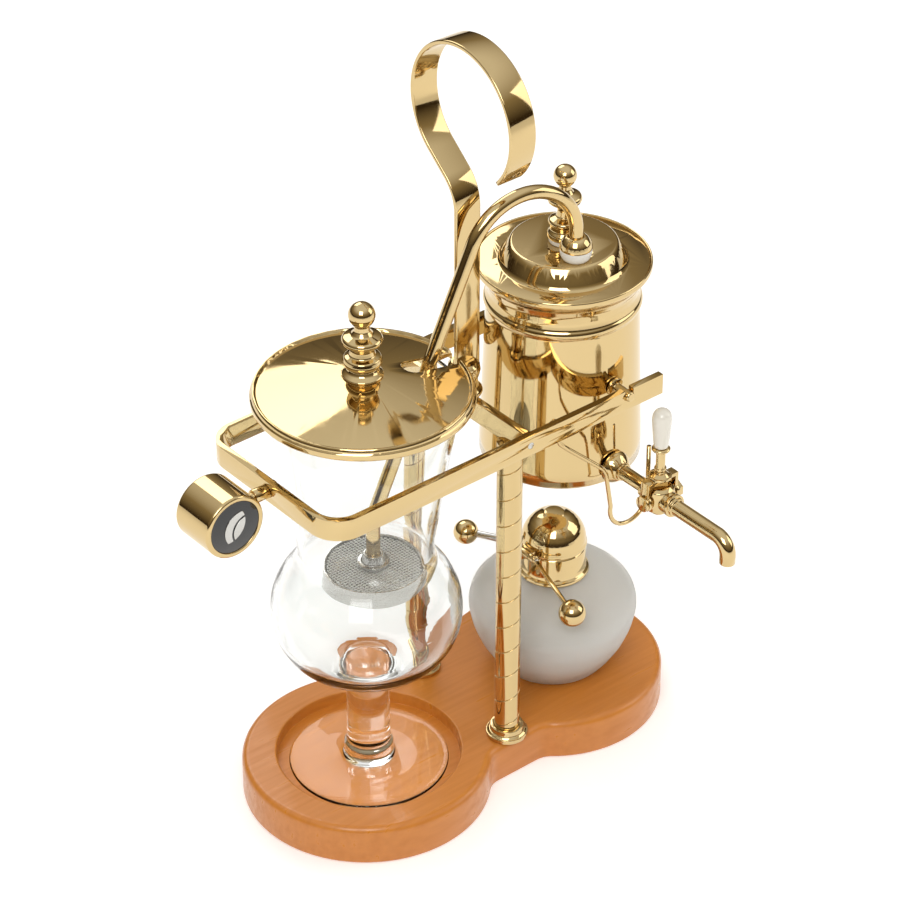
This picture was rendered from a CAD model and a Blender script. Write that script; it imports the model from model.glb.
"""Looks of a balance siphon coffee maker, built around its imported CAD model."""

import logging
import math
from dataclasses import dataclass
from enum import Enum

import bmesh
import bpy
import numpy as np
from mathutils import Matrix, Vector


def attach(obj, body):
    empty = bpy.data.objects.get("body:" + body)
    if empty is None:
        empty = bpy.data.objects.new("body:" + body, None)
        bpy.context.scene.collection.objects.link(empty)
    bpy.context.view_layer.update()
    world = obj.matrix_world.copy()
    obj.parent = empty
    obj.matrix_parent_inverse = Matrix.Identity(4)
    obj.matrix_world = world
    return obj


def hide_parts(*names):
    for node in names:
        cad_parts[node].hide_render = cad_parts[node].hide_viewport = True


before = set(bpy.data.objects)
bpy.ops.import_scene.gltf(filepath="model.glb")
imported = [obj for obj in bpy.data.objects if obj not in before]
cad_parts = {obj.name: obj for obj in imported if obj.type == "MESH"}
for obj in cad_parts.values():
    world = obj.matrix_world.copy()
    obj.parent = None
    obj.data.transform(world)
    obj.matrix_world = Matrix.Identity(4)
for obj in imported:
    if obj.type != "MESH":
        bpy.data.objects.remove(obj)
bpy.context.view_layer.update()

LOG = logging.getLogger("siphon")
MM = 0.001

# Points nearer than this are one point: in millimetres in a grid, in metres in a CAD mesh.
SAME_POINT = 1e-6
# Largest turn between faces that are merged, and least turn of an edge that is eased, in degrees.
FLAT_TURN = 0.4
SHARP_TURN = 32


# ---------------------------------------------------------------- finishes


class Texture(Enum):
    """What the surface of a finish is broken up by."""

    POLISHED = "polished"
    BRUSHED = "brushed"
    GRAIN = "grain"
    FROSTED = "frosted"
    FIBRE = "fibre"
    CLEAR = "clear"


def linear(code: str) -> tuple[float, float, float, float]:
    """Turns an sRGB hex code to linear light.

    Args:
        code: six hex digits.

    Returns:
        Linear red, green, blue and an alpha of one.
    """
    srgb = np.array([int(code[i : i + 2], 16) for i in (0, 2, 4)]) / 255.0
    low = srgb / 12.92
    high = ((srgb + 0.055) / 1.055) ** 2.4
    red, green, blue = np.where(srgb <= 0.04045, low, high)
    return float(red), float(green), float(blue), 1.0


def add_node(tree: bpy.types.NodeTree, kind: str, links: dict | None = None, **settings) -> bpy.types.Node:
    """Adds a node with its settings, socket values and incoming links.

    Args:
        tree: the node tree.
        kind: the node's type name.
        links: input name or index to an output socket that feeds it, or to a value.
        settings: properties of the node itself.

    Returns:
        The new node.
    """
    node = tree.nodes.new(kind)
    for name, value in settings.items():
        setattr(node, name, value)
    for name, source in (links or {}).items():
        if isinstance(source, bpy.types.NodeSocket):
            tree.links.new(source, node.inputs[name])
        else:
            node.inputs[name].default_value = source
    return node


COAT_ROUGHNESS = 0.05
# How a texture's noise is stretched along x, y and z: a small number makes long marks.
STRETCH = {
    Texture.GRAIN: (0.07, 1.0, 0.6),
    Texture.BRUSHED: (1.0, 1.0, 6.0),
    Texture.FIBRE: (1.0, 1.0, 0.3),
}
EVEN = (1.0, 1.0, 1.0)
# The part of the noise's range that is used, and how far it moves the roughness each way.
NOISE_LOW, NOISE_HIGH = 0.3, 0.7
POLISHED_SPREAD, OTHER_SPREAD = 0.03, 0.12
LEAST_ROUGHNESS = 0.02
NOISE_DETAIL = 4.0
RELIEF_STRENGTH = 0.6


@dataclass(frozen=True)
class Finish:
    """One surface finish, named for the real material and how it was made."""

    name: str
    slot: str
    colour: str
    metallic: float
    roughness: float
    texture: Texture
    grain_mm: float = 2.0
    second: str = ""
    coat: float = 0.0
    relief_mm: float = 0.0
    transmission: float = 0.0
    ior: float = 1.5

    def material(self) -> bpy.types.Material:
        """Builds the material once and returns it on every later call.

        Returns:
            The Blender material.
        """
        found = bpy.data.materials.get(self.name)
        if found is not None:
            return found
        made = bpy.data.materials.new(self.name)
        made.use_nodes = True
        tree = made.node_tree
        tree.nodes.clear()
        shader = add_node(tree, "ShaderNodeBsdfPrincipled")
        add_node(tree, "ShaderNodeOutputMaterial", {"Surface": shader.outputs["BSDF"]})
        shader.inputs["Base Color"].default_value = linear(self.colour)
        shader.inputs["Metallic"].default_value = self.metallic
        shader.inputs["Roughness"].default_value = self.roughness
        if self.coat > 0.0:
            shader.inputs["Coat Weight"].default_value = self.coat
            shader.inputs["Coat Roughness"].default_value = COAT_ROUGHNESS
        if self.transmission > 0.0:
            shader.inputs["IOR"].default_value = self.ior
            shader.inputs["Transmission Weight"].default_value = self.transmission
        if self.texture is not Texture.CLEAR:
            self._break_up(tree, shader)
        return made

    def _break_up(self, tree: bpy.types.NodeTree, shader: bpy.types.Node) -> None:
        """Adds the fine unevenness that the process leaves, sized from grain_mm.

        Args:
            tree: the material's node tree.
            shader: its principled shader.
        """
        # One noise cell is grain_mm long, so the scale is cells per metre.
        cells = 1.0 / (self.grain_mm * MM)
        stretch = STRETCH.get(self.texture, EVEN)
        place = add_node(tree, "ShaderNodeTexCoord")
        turned = add_node(tree, "ShaderNodeMapping", {"Vector": place.outputs["Object"], "Scale": stretch})
        noise = add_node(
            tree,
            "ShaderNodeTexNoise",
            {"Vector": turned.outputs["Vector"], "Scale": cells, "Detail": NOISE_DETAIL},
        )
        spread = POLISHED_SPREAD if self.texture is Texture.POLISHED else OTHER_SPREAD
        rough = add_node(
            tree,
            "ShaderNodeMapRange",
            {
                "Value": noise.outputs["Fac"],
                "From Min": NOISE_LOW,
                "From Max": NOISE_HIGH,
                "To Min": max(self.roughness - spread, LEAST_ROUGHNESS),
                "To Max": self.roughness + spread,
            },
        )
        tree.links.new(rough.outputs["Result"], shader.inputs["Roughness"])
        if self.second:
            blend = add_node(tree, "ShaderNodeMix", {"Factor": noise.outputs["Fac"]}, data_type="RGBA")
            blend.inputs[6].default_value = linear(self.colour)
            blend.inputs[7].default_value = linear(self.second)
            tree.links.new(blend.outputs[2], shader.inputs["Base Color"])
        if self.relief_mm > 0.0:
            depth = self.relief_mm * MM
            bump = add_node(
                tree,
                "ShaderNodeBump",
                {"Height": noise.outputs["Fac"], "Distance": depth, "Strength": RELIEF_STRENGTH},
            )
            tree.links.new(bump.outputs["Normal"], shader.inputs["Normal"])


# Thin gold plate on polished brass: a pale champagne mirror.
GOLD = Finish("gold_plate_polished", "gold_plate", "D3BA88", 1.0, 0.07, Texture.POLISHED, 9.0)
# Turned stainless steel: grey, with a softer shine than the plate.
STEEL = Finish("stainless_steel_turned", "stainless_steel", "C9C8C4", 1.0, 0.22, Texture.BRUSHED, 1.2)
# Woven steel gauze: the wires are real geometry, so the finish is plain drawn wire.
GAUZE = Finish("steel_gauze_drawn_wire", "steel_mesh", "E8E8E6", 1.0, 0.4, Texture.BRUSHED, 0.8)
# Rubberwood under orange-brown lacquer: long fine grain below a clear glossy coat.
LACQUER = Finish(
    "rubberwood_lacquered", "lacquered_wood", "D98A34", 0.0, 0.38, Texture.GRAIN, 3.0, "BE7022", 0.3, 0.015
)
# Blown borosilicate glass: clear and smooth.
GLASS = Finish(
    "borosilicate_glass_blown", "clear_glass", "FAFCFC", 0.0, 0.0, Texture.CLEAR, transmission=1.0, ior=1.4
)
# Acid-etched glass: white and soft, and it lets light through.
FROST = Finish(
    "soda_glass_acid_etched",
    "frosted_glass",
    "F7F7F4",
    0.0,
    0.5,
    Texture.FROSTED,
    0.6,
    transmission=0.6,
    ior=1.47,
)
# Glazed porcelain: clean white with a wet shine.
CERAMIC = Finish("porcelain_glazed", "white_ceramic", "E9E5DA", 0.0, 0.14, Texture.POLISHED, 6.0, coat=0.6)
# Moulded silicone: white and dull.
SILICONE = Finish("silicone_moulded", "white_silicone", "EFEEE9", 0.0, 0.55, Texture.POLISHED, 3.0)
# Stoved enamel: black with a hard gloss.
ENAMEL = Finish("enamel_black_stoved", "black_enamel", "0B0B0D", 0.0, 0.12, Texture.POLISHED, 5.0, coat=0.5)
# Braided cotton: off-white and matt, with the braid's relief.
COTTON = Finish("cotton_braided", "cotton", "E4DFD0", 0.0, 0.9, Texture.FIBRE, 0.8, "CFC8B4", 0.0, 0.2)


# ---------------------------------------------------------------- surfaces


def skin(name: str, rows: np.ndarray, ring: bool = False) -> bpy.types.Object:
    """Makes a closed mesh from a grid of points.

    Neighbouring rows and columns are joined by quads, the columns run right round,
    and a row whose points coincide becomes one pole. Faces are turned to enclose a
    positive volume, which is a sixth of the sum of a . (b x c) over the triangles.

    Args:
        name: the object's name.
        rows: points in millimetres, rows by columns by three.
        ring: True where the last row joins the first.

    Returns:
        The object, at the origin, with its place in its mesh.
    """
    count, around = rows.shape[:2]
    index = np.arange(count * around).reshape(count, around)
    poles = np.ptp(rows, axis=1).max(axis=1) < SAME_POINT
    index[poles] = index[poles][:, :1]
    upper = np.roll(index, -1, axis=0) if ring else index[1:]
    lower = index if ring else index[:-1]
    quads = np.stack([lower, np.roll(lower, -1, 1), np.roll(upper, -1, 1), upper], -1).reshape(-1, 4)
    flat_top = quads[:, 2] == quads[:, 3]
    flat_low = quads[:, 0] == quads[:, 1]
    full = quads[~flat_top & ~flat_low]
    tips = quads[flat_top & ~flat_low][:, [0, 1, 2]]
    feet = quads[flat_low & ~flat_top][:, [0, 2, 3]]
    points = rows.reshape(-1, 3) * MM
    flat = np.concatenate([full[:, [0, 1, 2]], full[:, [0, 2, 3]], tips, feet])
    a, b, c = points[flat[:, 0]], points[flat[:, 1]], points[flat[:, 2]]
    if np.einsum("ij,ij->i", a, np.cross(b, c)).sum() < 0:
        full, tips, feet = full[:, ::-1], tips[:, ::-1], feet[:, ::-1]
    used, compact = np.unique(np.concatenate([full.ravel(), tips.ravel(), feet.ravel()]), return_inverse=True)
    compact = compact.ravel()
    split = [full.size, full.size + tips.size]
    full_i, tips_i, feet_i = np.split(compact, split)
    faces = full_i.reshape(-1, 4).tolist() + tips_i.reshape(-1, 3).tolist() + feet_i.reshape(-1, 3).tolist()
    mesh = bpy.data.meshes.new(name)
    mesh.from_pydata(points[used].tolist(), [], faces)
    mesh.polygons.foreach_set("use_smooth", np.ones(len(mesh.polygons), dtype=bool))
    mesh.update()
    made = bpy.data.objects.new(name, mesh)
    bpy.context.scene.collection.objects.link(made)
    return made


def softened(outline: np.ndarray, cut: float, steps: int = 5, hold: float = 0.12) -> np.ndarray:
    """Rounds the inner corners of an open line.

    Each corner becomes a quadratic curve (1-t)^2 a + 2t(1-t) b + t^2 c that leaves the
    sides at most cut from it, with a support point beyond each end that keeps the sides flat.

    Args:
        outline: points of the line, each of two numbers.
        cut: longest distance that a corner takes from a side, in millimetres.
        steps: spans of each rounded corner.
        hold: distance of the support points, in millimetres.

    Returns:
        The rounded line.
    """
    mid, before, after = outline[1:-1], outline[:-2] - outline[1:-1], outline[2:] - outline[1:-1]
    reach_b = np.linalg.norm(before, axis=1, keepdims=True)
    reach_a = np.linalg.norm(after, axis=1, keepdims=True)
    # Two corners share a side, so neither the curve nor its support point passes the middle.
    curve_share, rest_share = 0.42, 0.47
    cut_b, cut_a = np.minimum(cut, reach_b * curve_share), np.minimum(cut, reach_a * curve_share)
    start, end = mid + before / reach_b * cut_b, mid + after / reach_a * cut_a
    rest_b = mid + before / reach_b * np.minimum(cut_b + hold, reach_b * rest_share)
    rest_a = mid + after / reach_a * np.minimum(cut_a + hold, reach_a * rest_share)
    t = np.linspace(0, 1, steps + 1)[None, :, None]
    curve = (1 - t) ** 2 * start[:, None] + 2 * t * (1 - t) * mid[:, None] + t**2 * end[:, None]
    corners = np.concatenate([rest_b[:, None], curve, rest_a[:, None]], axis=1).reshape(-1, 2)
    return np.concatenate([outline[:1], corners, outline[-1:]])


def turned(name: str, profile: list, at: tuple, cut: float = 0.8, around: int = 144) -> bpy.types.Object:
    """Turns a profile of radius and height about an upright axis.

    A point at radius r and height z goes to (x + r cos u, y + r sin u, z).

    Args:
        name: the object's name.
        profile: pairs of radius and height, from pole to pole, or a closed wall.
        at: the axis's x and y.
        cut: how far the corners are rounded, in millimetres.
        around: columns round the axis.

    Returns:
        The object.
    """
    line = np.array(profile, float)
    poles = line[0, 0] < SAME_POINT and line[-1, 0] < SAME_POINT
    if not poles:
        line = np.concatenate([line, line[:1]])
    line = softened(line, cut)
    if not poles:
        line = line[:-1]
    u = np.linspace(0, 2 * np.pi, around, endpoint=False)
    r, z = line[:, :1], line[:, 1:]
    rows = np.stack([at[0] + r * np.cos(u), at[1] + r * np.sin(u), z + 0 * u], -1)
    return skin(name, rows, ring=not poles)


def carried(name: str, path: np.ndarray, section: np.ndarray, across: tuple) -> bpy.types.Object:
    """Carries a closed section along a path and closes both ends with a pole.

    At each point t is the tangent, u the unit of across x t and v = t x u, and a section
    point (a, b) goes to path + a u + b v.

    Args:
        name: the object's name.
        path: points in millimetres.
        section: closed line of two numbers.
        across: a direction that the path never runs along.

    Returns:
        The object.
    """
    t = np.gradient(path, axis=0)
    t /= np.linalg.norm(t, axis=1, keepdims=True)
    u = np.cross(np.array(across, float), t)
    u /= np.linalg.norm(u, axis=1, keepdims=True)
    v = np.cross(t, u)
    rows = path[:, None] + section[None, :, :1] * u[:, None] + section[None, :, 1:] * v[:, None]
    first = np.repeat(path[:1, None], len(section), axis=1)
    last = np.repeat(path[-1:, None], len(section), axis=1)
    return skin(name, np.concatenate([first, rows, last]))


def round_section(radius: float, points: int = 28) -> np.ndarray:
    """A circle (r cos a, r sin a) as a closed line.

    Args:
        radius: its radius in millimetres.
        points: how many points it has.

    Returns:
        The points.
    """
    a = np.linspace(0, 2 * np.pi, points, endpoint=False)
    return radius * np.stack([np.cos(a), np.sin(a)], -1)


def strip_section(width: float, height: float, edge: float) -> np.ndarray:
    """A rectangle with quarter-round corners, as a closed line.

    Args:
        width: its first side in millimetres.
        height: its second side.
        edge: radius of the corners.

    Returns:
        The points.
    """
    a = np.linspace(0, np.pi / 2, 6)
    quarter = np.stack([np.cos(a), np.sin(a)], -1) * edge
    turns = [(1, 1), (-1, 1), (-1, -1), (1, -1)]
    parts = []
    for k, (sx, sy) in enumerate(turns):
        c, s = math.cos(k * math.pi / 2), math.sin(k * math.pi / 2)
        spun = quarter @ np.array([[c, s], [-s, c]])
        parts.append(spun + np.array([sx * (width / 2 - edge), sy * (height / 2 - edge)]))
    return np.concatenate(parts)


def arc(centre: tuple, radius: float, start: float, end: float, points: int) -> np.ndarray:
    """Points of an arc in a plane.

    Args:
        centre: its middle.
        radius: its radius.
        start: first angle in degrees.
        end: last angle in degrees.
        points: how many points it has.

    Returns:
        The points.
    """
    a = np.radians(np.linspace(start, end, points))
    return np.stack([centre[0] + radius * np.cos(a), centre[1] + radius * np.sin(a)], -1)


def set_piece(made: bpy.types.Object, finish: Finish, body: str, *nodes: str) -> bpy.types.Object:
    """Dresses a new piece, lets it ride on its body and stand for its CAD nodes.

    Args:
        made: the piece.
        finish: its finish.
        body: the CAD body that it moves with.
        nodes: the CAD nodes that it stands for.

    Returns:
        The piece.
    """
    made.data.materials.clear()
    made.data.materials.append(finish.material())
    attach(made, body)
    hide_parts(*nodes)
    LOG.info("%s: %s on %s", made.name, finish.name, body)
    return made


def eased(node: str, finish: Finish, body: str, edge: float = 0.25) -> bpy.types.Object:
    """A copy of a CAD node with its points merged and its sharp edges eased.

    Args:
        node: the CAD node.
        finish: the finish.
        body: the CAD body that it moves with.
        edge: width of the eased edges in millimetres.

    Returns:
        The piece.
    """
    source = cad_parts[node]
    mesh = source.data.copy()
    mesh.name = node + "_piece"
    work = bmesh.new()
    work.from_mesh(mesh)
    bmesh.ops.remove_doubles(work, verts=work.verts, dist=SAME_POINT)
    bmesh.ops.dissolve_limit(work, angle_limit=math.radians(FLAT_TURN), verts=work.verts, edges=work.edges)
    work.to_mesh(mesh)
    work.free()
    mesh.polygons.foreach_set("use_smooth", np.ones(len(mesh.polygons), dtype=bool))
    made = bpy.data.objects.new(node + "_piece", mesh)
    bpy.context.scene.collection.objects.link(made)
    if edge > 0.0:
        bevel = made.modifiers.new("eased_edges", "BEVEL")
        bevel.width = edge * MM
        bevel.segments = 2
        bevel.limit_method = "ANGLE"
        bevel.angle_limit = math.radians(SHARP_TURN)
        bevel.use_clamp_overlap = True
        bevel.harden_normals = True
    return set_piece(made, finish, body, node)


# ---------------------------------------------------------------- sub-assemblies


@dataclass
class WoodenBase:
    """The two-lobed base with its round recess."""

    lobe_a: tuple = (-66.5, 71.5)
    lobe_b: tuple = (72.0, 66.0)
    waist: float = 48.0
    fillet: float = 14.0
    height: float = 25.0
    recess: tuple = (-65.0, 53.0, 17.0)
    low_edge: float = 2.0
    top_edge: float = 4.0
    hold: float = 0.3
    floor_hold: float = 0.4
    top_inset: float = 6.0
    lip: float = 0.6

    def half_outline(self) -> tuple[np.ndarray, np.ndarray]:
        """The upper half of the outline and its outward normals.

        Two lobes, two hollow fillets and the straight waist, each an arc or a line whose
        normal is the arc's own radius, so that the line has no kink.

        Returns:
            Points and normals, from the lamp's end to the vessel's end.
        """
        xa, ra = self.lobe_a
        xb, rb = self.lobe_b
        rise = self.waist + self.fillet
        reach_a = math.sqrt((ra + self.fillet) ** 2 - rise**2)
        reach_b = math.sqrt((rb + self.fillet) ** 2 - rise**2)
        join_a = math.degrees(math.atan2(rise, reach_a))
        join_b = math.degrees(math.atan2(rise, -reach_b))
        runs = [
            (xb, 0.0, rb, 0.0, join_b, 1, 150),
            (xb - reach_b, rise, self.fillet, join_b - 180, -90.0, -1, 24),
            (xa + reach_a, rise, self.fillet, -90.0, join_a - 180, -1, 24),
            (xa, 0.0, ra, join_a, 180.0, 1, 150),
        ]
        points, normals = [], []
        for x, y, r, start, end, side, count in runs:
            a = np.radians(np.linspace(start, end, count))
            out = np.stack([np.cos(a), np.sin(a)], -1)
            shared = 1 if len(points) in (1, 3) else 0
            points.append((np.array([x, y]) + r * out)[shared:])
            normals.append((side * out)[shared:])
        return np.concatenate(points), np.concatenate(normals)

    def build(self) -> None:
        """Builds the base: edge rows set in from the outline, then the top and the recess.

        An edge row lies at outline - inset * normal, with quarter-round edges.
        """
        half, out = self.half_outline()
        flip = np.array([1.0, -1.0])
        line = np.concatenate([half, (half * flip)[-2:0:-1]])
        normal = np.concatenate([out, (out * flip)[-2:0:-1]])
        low, top = np.radians(np.linspace(-90, 0, 5)), np.radians(np.linspace(0, 90, 9))
        e, f, g = self.low_edge, self.top_edge, self.hold
        inset = np.concatenate([[e + g], e - e * np.cos(low), f - f * np.cos(top), [f + g]])
        level = np.concatenate([[0.0], e + e * np.sin(low), self.height - f + f * np.sin(top), [self.height]])
        rows = [np.column_stack([line - d * normal, np.full(len(line), z)]) for d, z in zip(inset, level)]
        inner = line - self.top_inset * normal
        # The ring is drawn in towards the middle at the lamp's end, by half at most.
        share = np.clip(inner[:, 0] / self.lobe_b[0], 0, 1)
        inner[:, 1] *= 1 - 0.5 * share * share * (3 - 2 * share)
        rows.append(np.column_stack([inner, np.full(len(line), self.height)]))
        xc, rc, floor = self.recess
        angle = np.arctan2(inner[:, 1], inner[:, 0] - xc)
        way = np.stack([np.cos(angle), np.sin(angle)], -1)
        for r, z in [
            (rc + 2 * self.lip, self.height),
            (rc + self.lip, self.height),
            (rc + 0.3 * self.lip, self.height - 0.3 * self.lip),
            (rc, self.height - self.lip),
            (rc, self.height - 2 * self.lip),
            (rc, floor + self.hold),
            (rc, floor),
            (rc - self.floor_hold, floor),
        ]:
            rows.append(np.column_stack([xc + r * way[:, 0], r * way[:, 1], np.full(len(line), z)]))
        rows.append(np.tile([xc, 0.0, floor], (len(line), 1)))
        rows.insert(0, np.tile([0.0, 0.0, 0.0], (len(line), 1)))
        set_piece(skin("lacquered_base", np.array(rows)), LACQUER, "stand", "wooden_base")
        eased("base_screws", STEEL, "stand", 0.15)
        eased("base_washers", STEEL, "stand", 0.1)


@dataclass
class Posts:
    """The two posts with their spiral lines, the stepped flanges and the cross bar."""

    x: float = 5.0
    y: float = 39.5
    radius: float = 7.2
    low: float = 25.0
    top: float = 228.0
    pitch: float = 17.5
    groove_depth: float = 0.55
    groove_half: float = 0.16
    groove_start: float = 7.5
    groove_end: float = 1.5
    groove_fade: float = 1.5

    def post(self, side: int) -> bpy.types.Object:
        """One post: column angle u is set on by 2 pi z / pitch, so the groove at u = 0 winds up.

        The radius is r - depth (1 - (u / half)^2)^2 within the groove.

        Args:
            side: -1 for the near post, 1 for the far one.

        Returns:
            The post.
        """
        fine = np.linspace(-self.groove_half, self.groove_half, 11)
        beside = self.groove_half + 0.04
        wide = np.linspace(beside, 2 * np.pi - beside, 44)
        u = np.concatenate([fine, wide])
        dip = np.clip(1 - (u / self.groove_half) ** 2, 0, 1) ** 2 * (np.abs(u) <= self.groove_half)
        z = np.linspace(self.low, self.top, 500)[:, None]
        inside = np.minimum(z - self.low - self.groove_start, self.top - z - self.groove_end)
        fade = np.clip(inside / self.groove_fade, 0, 1)
        r = self.radius - self.groove_depth * dip * fade
        turn = u + 2 * np.pi * (z - self.low) / self.pitch
        middle = (self.x, side * self.y)
        rows = np.stack([middle[0] + r * np.cos(turn), middle[1] + r * np.sin(turn), z + 0 * u], -1)
        ends = [np.tile([middle[0], middle[1], h], (1, len(u), 1)) for h in (self.low, self.top)]
        name = "far_spiral_post" if side > 0 else "near_spiral_post"
        return skin(name, np.concatenate([ends[0], rows, ends[1]]))

    def build(self) -> None:
        """Builds both posts and their flanges, and eases the bar."""
        set_piece(self.post(-1), GOLD, "stand", "near_post")
        set_piece(self.post(1), GOLD, "stand", "far_post")
        eased("post_flanges", GOLD, "stand", 0.4)
        eased("cross_bar", GOLD, "stand", 0.4)


@dataclass
class CarryingHandle:
    """The strip handle that stands in its foot on the bar."""

    x: float = 7.0
    centre: tuple = (-4.0, 416.5)
    radius: float = 40.25
    width: float = 17.0
    thick: float = 2.5
    tail: float = -50.0
    end: float = 222.0
    neck: float = 25.0
    low: float = 248.6
    edge: float = 0.9

    def build(self) -> None:
        """Carries the strip's section along loop, tail, neck arc and stem."""
        a = math.radians(self.tail)
        way = np.array([math.sin(a), -math.cos(a)])
        start = np.array(self.centre) + self.radius * np.array([math.cos(a), math.sin(a)])
        turn = np.array([self.neck * (-1 - way[1]), self.neck * way[0]])
        run = (-start[0] - turn[0]) / way[0]
        knee = start + run * way
        loop = arc(self.centre, self.radius, self.end, self.tail, 120)
        straight = start + np.linspace(0.05, 0.95, 12)[:, None] * run * way
        bend = arc((self.neck, knee[1] + turn[1]), self.neck, 180 + self.tail, 180, 24)
        stem = np.column_stack([np.zeros(12), np.linspace(bend[-1, 1] - 0.5, self.low, 12)])
        line = np.concatenate([loop, straight, bend, stem])
        path = np.column_stack([np.full(len(line), self.x), line])
        section = strip_section(self.thick, self.width, self.edge)
        set_piece(carried("strip_handle", path, section, (1, 0, 0)), GOLD, "stand", "carrying_handle")
        eased("handle_foot", GOLD, "stand", 0.3)
        eased("handle_rivets", GOLD, "stand", 0.2)
        eased("handle_foot_screw", STEEL, "stand", 0.15)


@dataclass
class TiltingFrame:
    """The U band, its pins, the counterweight and the wire hook."""

    weight_at: tuple = (-162.0, 232.5)
    weight_radius: float = 18.5
    weight_length: float = 29.0
    badge: float = 15.4

    def drum(self) -> bpy.types.Object:
        """The drum: its profile is turned about a level axis, so depth takes the height's place.

        Returns:
            The drum.
        """
        half = self.weight_length / 2
        profile = [
            (0, 1.6),
            (self.badge + 0.1, 1.6),
            (self.badge + 0.1, 0.3),
            (self.badge + 0.8, 0),
            (self.weight_radius - 0.9, 0),
            (self.weight_radius, 0.9),
            (self.weight_radius, self.weight_length - 1.5),
            (self.weight_radius - 1.5, self.weight_length),
            (0, self.weight_length),
        ]
        line = softened(np.array(profile, float), 0.8)
        u = np.linspace(0, 2 * np.pi, 128, endpoint=False)
        r, depth = line[:, :1], line[:, 1:]
        x, z = self.weight_at
        rows = np.stack([x + r * np.cos(u), -half + depth + 0 * u, z + r * np.sin(u)], -1)
        return skin("weight_drum", rows)

    def build(self) -> None:
        """Builds the drum and eases what is sawn, drilled or threaded."""
        set_piece(self.drum(), GOLD, "balance", "counterweight")
        eased("frame_band", GOLD, "balance", 0.5)
        eased("weight_stud", GOLD, "balance", 0.3)
        eased("weight_badge", ENAMEL, "balance", 0.1)
        eased("badge_emblem", STEEL, "balance", 0.1)
        eased("pivot_pins", STEEL, "balance", 0.2)
        eased("hook_screw", GOLD, "balance", 0.3)
        eased("wire_hook", GOLD, "hook", 0.0)


@dataclass
class Boiler:
    """The boiler with its brim, cap, pins and filler plug."""

    at: tuple = (76.0, 0.0)
    ball: tuple = (6.5, 351.0)

    def build(self) -> None:
        """Turns the shell, the bottom and the plug; the drilled top is eased."""
        shell = [
            (46, 176.2), (46, 185), (43, 271.6), (43.9, 272.6), (44.5, 274.5), (43.9, 276.4),
            (43, 277.4), (42.2, 281), (42.8, 286), (45, 291), (48.4, 294.6), (49.5, 296),
            (49.5, 298.6), (48.8, 299.4), (47.9, 298.8), (47.9, 296.6), (44.2, 293), (41.6, 287),
            (41, 281), (41.7, 272), (44.8, 185), (44.8, 176.2),
        ]  # fmt: skip
        set_piece(turned("boiler_wall", shell, self.at, 1.2, 192), GOLD, "boiler", "boiler_shell")
        bottom = [
            (0, 174.5), (44, 174.5), (45.4, 175), (46, 176.2), (44.7, 176.2), (44.7, 179),
            (43.5, 179), (43.5, 176.2), (0, 176.2),
        ]  # fmt: skip
        set_piece(turned("boiler_floor", bottom, self.at, 0.6, 192), GOLD, "boiler", "boiler_bottom")
        eased("boiler_top", GOLD, "boiler", 0.4)
        eased("boiler_pins", GOLD, "boiler", 0.3)
        ball = arc((0, self.ball[1]), self.ball[0], -60, 84, 20).tolist()
        plug = [
            (0, 302), (5.4, 302), (5.4, 312.6), (8.6, 312.6), (9.2, 313.6), (9.2, 316), (7.6, 318),
            (7.6, 321), (9, 322.4), (8.4, 324), (4.4, 326), (3.8, 330), (5, 333.6), (9, 335),
            (9.8, 337), (9, 339), (5, 340.4), (3.4, 343),
        ]  # fmt: skip
        tip = [[0, sum(self.ball)]]
        set_piece(turned("filler_knob", plug + ball + tip, self.at, 0.7), GOLD, "filler", "filler_plug")
        eased("filler_seal", SILICONE, "filler", 0.4)


@dataclass
class Tap:
    """The tap with its nut, barrel, spout and porcelain lever."""

    at: tuple = (76.0, -84.0)
    handle_low: float = 217.1

    def build(self) -> None:
        """Turns the porcelain and eases the castings."""
        profile = [(0, 0), (3.6, 0), (4.2, 1.2), (5.5, 16), (5.6, 19), (5, 22), (3.4, 24), (0, 24.8)]
        raised = [(r, z + self.handle_low) for r, z in profile]
        set_piece(turned("porcelain_grip", raised, self.at, 1.6, 96), CERAMIC, "tap_lever", "tap_handle")
        for node in ("tap_nut", "tap_body", "tap_spout"):
            eased(node, GOLD, "boiler", 0.35)
        for node in ("tap_plug", "tap_fork", "tap_washer"):
            eased(node, GOLD, "tap_lever", 0.25)


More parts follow.
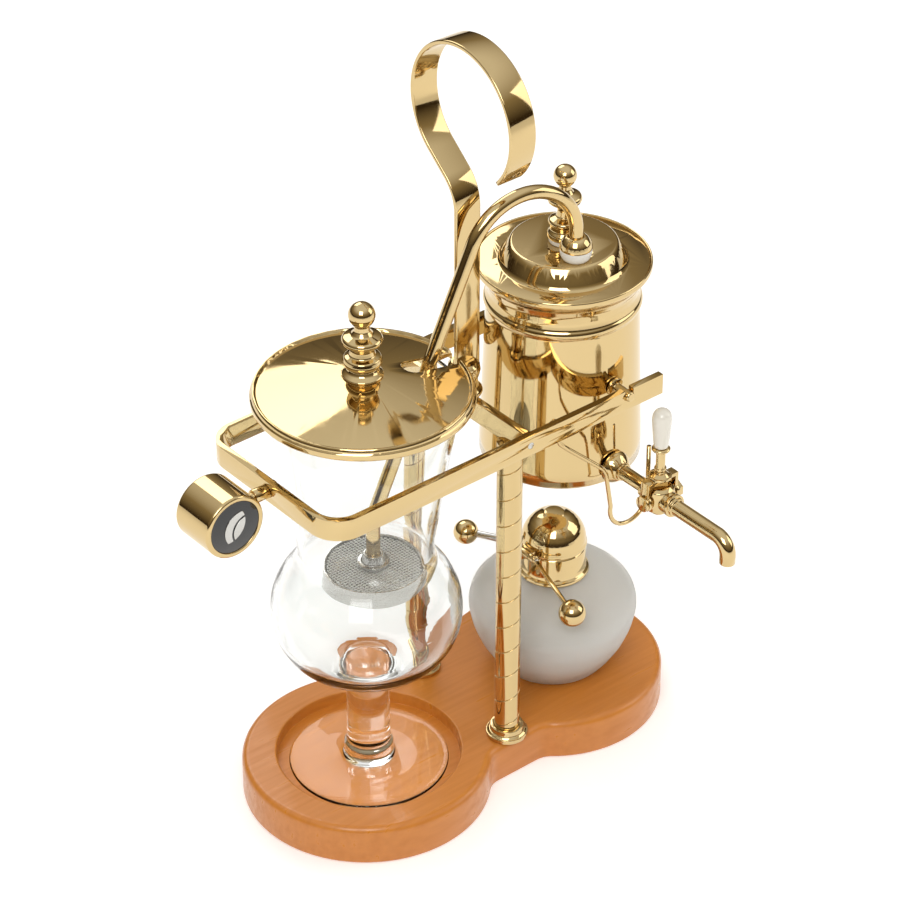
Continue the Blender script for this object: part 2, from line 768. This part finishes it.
@dataclass
class Siphon:
    """The bent tube, its stopper and the filter."""

    start: tuple = (69.0, -18.0)
    hub: tuple = (-62.0, -3.0)
    radius: float = 4.0
    arch: float = 35.0
    arch_z: float = 326.0
    slope: float = 66.9
    bend: float = 30.0
    low: float = 302.0
    hub_z: float = 160.0
    filter_radius: float = 26.7
    wire_pitch: float = 1.9
    wire_radius: float = 0.28
    gauze_z: float = 156.2
    gauze_margin: float = 0.8

    def route(self) -> np.ndarray:
        """The tube's middle line: up, over the arch, down the slope, round the bend and down.

        Returns:
            Points in millimetres.
        """
        span = np.array(self.hub) - np.array(self.start)
        length = float(np.linalg.norm(span))
        a = math.radians(self.slope)
        top = arc((self.arch, self.arch_z), self.arch, 180, 90 - self.slope, 60)
        across = self.bend * (1 - math.sin(a))
        leg = (length - across - top[-1, 0]) / math.cos(a)
        foot = top[-1] + leg * np.array([math.cos(a), -math.sin(a)])
        slope = top[-1] + np.linspace(0.02, 0.98, 30)[:, None] * (foot - top[-1])
        centre = (length - self.bend, foot[1] - self.bend * math.cos(a))
        low = arc(centre, self.bend, 90 - self.slope, 0, 16)
        rise = np.column_stack([np.zeros(8), np.linspace(self.low, self.arch_z - 1, 8)])
        drop = np.column_stack([np.full(8, length), np.linspace(centre[1] - 1, self.hub_z, 8)])
        line = np.concatenate([rise, top, slope, low, drop])
        way = span / length
        run, height = line[:, 0], line[:, 1]
        return np.column_stack([self.start[0] + run * way[0], self.start[1] + run * way[1], height])

    def gauze(self) -> bpy.types.Object:
        """The filter's gauze: two sets of wires that rise and fall past each other.

        The wires are thicker and further apart than in a real gauze, so that the weave shows.
        A wire's height is the gauze's plus radius * cos(pi s / pitch), with s the run along
        it, and the next wire and the other set are half a wave on.

        Returns:
            The gauze, as one object.
        """
        paths = []
        reach = self.filter_radius - self.gauze_margin
        lines = np.arange(-reach + self.gauze_margin, reach, self.wire_pitch)
        for turn in (0, 1):
            for number, offset in enumerate(lines):
                half = math.sqrt(max(reach**2 - offset**2, 1.0))
                s = np.linspace(-half, half, 36)
                wave = self.wire_radius * np.cos(np.pi * s / self.wire_pitch + np.pi * (number + turn))
                level = np.full_like(s, offset)
                flat = np.column_stack([s, level] if turn == 0 else [level, s])
                paths.append(np.column_stack([flat + np.array(self.hub), self.gauze_z + wave]))
        made = [
            carried(f"gauze_wire_{k}", path, round_section(self.wire_radius, 6), (0, 0, 1))
            for k, path in enumerate(paths)
        ]
        with bpy.context.temp_override(active_object=made[0], selected_editable_objects=made):
            bpy.ops.object.join()
        made[0].name = "filter_gauze"
        return made[0]

    def build(self) -> None:
        """Carries the tube and sets the filter under it."""
        span = np.array(self.hub) - np.array(self.start)
        across = (-span[1], span[0], 0.0)
        tube = carried("bent_tube", self.route(), round_section(self.radius, 36), across)
        set_piece(tube, GOLD, "siphon", "siphon_tube")
        eased("siphon_stopper", SILICONE, "siphon", 0.5)
        eased("siphon_ferrule", GOLD, "siphon", 0.4)
        eased("filter_hub", STEEL, "siphon", 0.3)
        eased("filter_cup", STEEL, "siphon", 0.3)
        set_piece(self.gauze(), GAUZE, "siphon", "filter_mesh")


@dataclass
class Vessel:
    """The blown glass vessel and its turned cover."""

    at: tuple = (-65.0, 0.0)
    wall: float = 2.2
    lens_rise: float = 1.6
    ball: tuple = (7.4, 318.4)

    def build(self) -> None:
        """Turns the glass with a thick lens in the bowl's floor, and the cover's knob."""
        foot = [
            (0, 17.2), (45, 17.2), (46, 18.2), (45, 19.6), (24, 20.6), (15.6, 22.4), (14.2, 25),
            (14.2, 31), (12.6, 34), (12.3, 37), (12.3, 82),
        ]  # fmt: skip
        bowl = [
            (24, 86.5), (36, 93), (46, 102), (52, 113), (54, 125), (53, 136), (49, 146),
            (43.4, 154), (38.6, 160), (37.3, 165), (37.9, 172), (40, 186), (43.2, 205), (47, 230),
            (50.4, 249), (53, 264), (53.5, 268),
        ]  # fmt: skip
        # The inner wall starts beyond the lens, and its low part is lifted to thicken the floor.
        lens_edge, thick_below = 30, 110
        inside = [
            (r - self.wall, z + (self.lens_rise if z < thick_below else 0)) for r, z in bowl if r > lens_edge
        ][::-1]
        lens = [(24, 90.6), (14, 90.4), (9, 93), (0, 94.4)]
        glass = turned("blown_vessel", foot + bowl + inside + lens, self.at, 5.0, 160)
        # Clear glass lets the softboxes through to the wood under its foot.
        glass.visible_shadow = False
        set_piece(glass, GLASS, "vessel", "glass_vessel")
        eased("vessel_lid", GOLD, "vessel_cover", 0.35)
        ball = arc((0, self.ball[1]), self.ball[0], -56, 84, 20).tolist()
        knob = [
            (0, 281), (11, 281), (11.4, 282), (8.6, 284), (7.6, 286), (10, 287.6), (10.8, 290),
            (10, 292.6), (7, 294), (6.2, 297), (6.8, 299.6), (10.6, 301.6), (11.3, 303.4),
            (10.4, 305), (6, 306.6), (4.2, 309),
        ]  # fmt: skip
        tip = [[0, sum(self.ball)]]
        set_piece(turned("cover_knob", knob + ball + tip, self.at, 0.7), GOLD, "vessel_cover", "lid_knob")
        eased("lid_knob_screw", STEEL, "vessel_cover", 0.15)


@dataclass
class Lamp:
    """The spirit lamp with its wick, winder and snuffer."""

    at: tuple = (73.0, 0.0)

    def build(self) -> None:
        """Turns the etched bottle and eases the fittings."""
        bottle = [
            (0, 25.1), (29, 25.1), (32, 26.4), (37, 33), (43, 43), (47, 53), (49.2, 63), (49.2, 68),
            (47.4, 74), (43, 79), (35, 83.4), (26, 86.4), (19, 88), (17, 88.2), (17, 97),
            (14.4, 97), (14.4, 87), (25, 83), (33.6, 80.4), (41, 76.6), (44.6, 72.4),
            (46.6, 67.6), (46.6, 63.4), (44.4, 54), (40.4, 44.4), (35, 35), (28, 28.6), (0, 28.6),
        ]  # fmt: skip
        set_piece(turned("etched_bottle", bottle, self.at, 3.0, 160), FROST, "lamp", "lamp_bottle")
        eased("lamp_collar", GOLD, "lamp", 0.3)
        eased("wick_tube", STEEL, "lamp", 0.15)
        eased("wick", COTTON, "wick_slider", 0.4)
        eased("wick_shaft", STEEL, "wick_winder", 0.2)
        eased("wick_knob", GOLD, "wick_winder", 0.0)
        eased("snuffer_lid", GOLD, "snuffer", 0.25)
        eased("lid_hinge_pin", STEEL, "snuffer", 0.15)
        eased("lid_lever", GOLD, "snuffer", 0.0)


@dataclass
class Studio:
    """Pale floor, soft lights and the camera."""

    place: tuple = (-1040.6, -1260.5, 1329.3)
    azimuth: float = -39.41
    elevation: float = 34.56
    lens: float = 143.2
    card_radius: float = 0.5
    cards: tuple = (
        (-150.0, 0.10, 0.36),
        (-102.0, 0.12, 0.34),
        (-50.0, 0.16, 0.40),
        (-5.0, 0.10, 0.40),
        (45.0, 0.16, 0.40),
        (120.0, 0.18, 0.40),
        (178.0, 0.10, 0.36),
    )
    card_columns: int = 33
    card_low: float = 0.002
    floor_half: float = 6.0
    floor_glow: float = 0.3
    aim: tuple = (0.0, 0.0, 0.2)
    softboxes: tuple = (
        ("key_softbox", (-1.1, -1.0, 1.6), 1.0, 15.0),
        ("fill_softbox", (1.5, -0.9, 1.0), 1.1, 7.0),
        ("back_softbox", (0.4, 1.6, 1.5), 1.1, 9.0),
    )

    def floor(self) -> None:
        """A wide plain floor, part of the stage and not of the object."""
        mesh = bpy.data.meshes.new("studio_floor")
        w = self.floor_half
        mesh.from_pydata([(-w, -w, 0), (w, -w, 0), (w, w, 0), (-w, w, 0)], [], [(0, 1, 2, 3)])
        made = bpy.data.objects.new("studio_floor", mesh)
        bpy.context.scene.collection.objects.link(made)
        paper = bpy.data.materials.new("backdrop_paper_matt")
        paper.use_nodes = True
        shader = paper.node_tree.nodes["Principled BSDF"]
        shader.inputs["Base Color"].default_value = linear("F8F8F8")
        shader.inputs["Roughness"].default_value = 0.9
        shader.inputs["Emission Color"].default_value = linear("FFFFFF")
        shader.inputs["Emission Strength"].default_value = self.floor_glow
        mesh.materials.append(paper)

    def light(self, name: str, at: tuple, size: float, power: float) -> None:
        """One square softbox aimed at the object's middle.

        Args:
            name: the lamp's name.
            at: its place in metres.
            size: its side in metres.
            power: watts.
        """
        data = bpy.data.lights.new(name, "AREA")
        data.size, data.energy = size, power
        made = bpy.data.objects.new(name, data)
        made.location = at
        made.rotation_euler = (Vector(self.aim) - Vector(at)).to_track_quat("-Z", "Y").to_euler()
        bpy.context.scene.collection.objects.link(made)

    def surround(self) -> None:
        """A room that is bright overhead and dim at eye level, so that mirrors have contrast."""
        world = bpy.data.worlds.new("studio_room")
        bpy.context.scene.world = world
        world.use_nodes = True
        tree = world.node_tree
        tree.nodes.clear()
        place = add_node(tree, "ShaderNodeTexCoord")
        split = add_node(tree, "ShaderNodeSeparateXYZ", {"Vector": place.outputs["Generated"]})
        ramp = add_node(tree, "ShaderNodeValToRGB", {"Fac": split.outputs["Z"]})
        ramp.color_ramp.elements[0].position = 0.02
        ramp.color_ramp.elements[0].color = linear("3E3222")
        ramp.color_ramp.elements[1].position = 0.85
        ramp.color_ramp.elements[1].color = linear("FFFFFF")
        middle = ramp.color_ramp.elements.new(0.45)
        middle.color = linear("A39578")
        room = add_node(tree, "ShaderNodeBackground", {"Color": ramp.outputs["Color"], "Strength": 0.85})
        plain = add_node(tree, "ShaderNodeBackground", {"Color": linear("FFFFFF"), "Strength": 1.0})
        path = add_node(tree, "ShaderNodeLightPath")
        seen = add_node(
            tree,
            "ShaderNodeMixShader",
            {0: path.outputs["Is Camera Ray"], 1: room.outputs["Background"], 2: plain.outputs["Background"]},
        )
        add_node(tree, "ShaderNodeOutputWorld", {"Surface": seen.outputs["Shader"]})

    def flags(self) -> None:
        """Dark upright cards round the object, seen only in reflections, that give mirrors contrast.

        A card is a grid of columns at radius * (cos a, sin a) + side * w, and its cloth is dense
        by cos^2 of the share of its half width, so that its edges fade out.
        """
        cloth = bpy.data.materials.new("feathered_flag_cloth")
        cloth.use_nodes = True
        tree = cloth.node_tree
        tree.nodes.clear()
        dense = add_node(tree, "ShaderNodeAttribute", attribute_name="density")
        dark = add_node(tree, "ShaderNodeBsdfDiffuse", {"Color": linear("24170B")})
        open_air = add_node(tree, "ShaderNodeBsdfTransparent")
        mixed = add_node(
            tree,
            "ShaderNodeMixShader",
            {0: dense.outputs["Fac"], 1: open_air.outputs["BSDF"], 2: dark.outputs["BSDF"]},
        )
        add_node(tree, "ShaderNodeOutputMaterial", {"Surface": mixed.outputs["Shader"]})
        for number, (turn, half, tall) in enumerate(self.cards):
            a = math.radians(turn)
            count = self.card_columns
            share = np.linspace(-1, 1, count)
            out = np.array([math.cos(a), math.sin(a)])
            side = np.array([-math.sin(a), math.cos(a)])
            foot = self.card_radius * out + half * share[:, None] * side
            low = np.column_stack([foot, np.full(count, self.card_low)])
            high = np.column_stack([foot, np.full(count, tall)])
            index = np.arange(count - 1)
            faces = np.stack([index, index + 1, index + count + 1, index + count], -1)
            mesh = bpy.data.meshes.new(f"flag_{number}")
            mesh.from_pydata(np.concatenate([low, high]).tolist(), [], faces.tolist())
            density = mesh.attributes.new("density", "FLOAT", "POINT")
            fade = np.cos(share * np.pi / 2) ** 2
            density.data.foreach_set("value", np.concatenate([fade, fade]).astype(np.float32))
            mesh.materials.append(cloth)
            card = bpy.data.objects.new(f"flag_{number}", mesh)
            bpy.context.scene.collection.objects.link(card)
            card.visible_camera = False
            card.visible_diffuse = False
            card.visible_shadow = False
            card.visible_transmission = False

    def build(self) -> None:
        """Sets floor, lights, room and camera."""
        self.floor()
        self.surround()
        self.flags()
        for box in self.softboxes:
            self.light(*box)
        data = bpy.data.cameras.new("studio_camera")
        data.lens, data.sensor_width = self.lens, 36.0
        data.clip_start, data.clip_end = 0.05, 50.0
        camera = bpy.data.objects.new("studio_camera", data)
        a, e = math.radians(self.azimuth), math.radians(self.elevation)
        back = Vector((math.sin(a) * math.cos(e), -math.cos(a) * math.cos(e), math.sin(e)))
        camera.location = Vector(self.place) * MM
        camera.rotation_euler = (-back).to_track_quat("-Z", "Y").to_euler()
        bpy.context.scene.collection.objects.link(camera)
        bpy.context.scene.camera = camera
        bpy.context.scene.view_settings.view_transform = "Standard"


def main() -> None:
    """Builds every sub-assembly in order, then the studio."""
    logging.basicConfig(level=logging.INFO, format="%(message)s")
    for part in (
        WoodenBase(), Posts(), CarryingHandle(), TiltingFrame(), Boiler(), Tap(),
        Siphon(), Vessel(), Lamp(), Studio(),
    ):  # fmt: skip
        part.build()
        LOG.info("%s done", type(part).__name__)


if __name__ == "__main__":
    main()
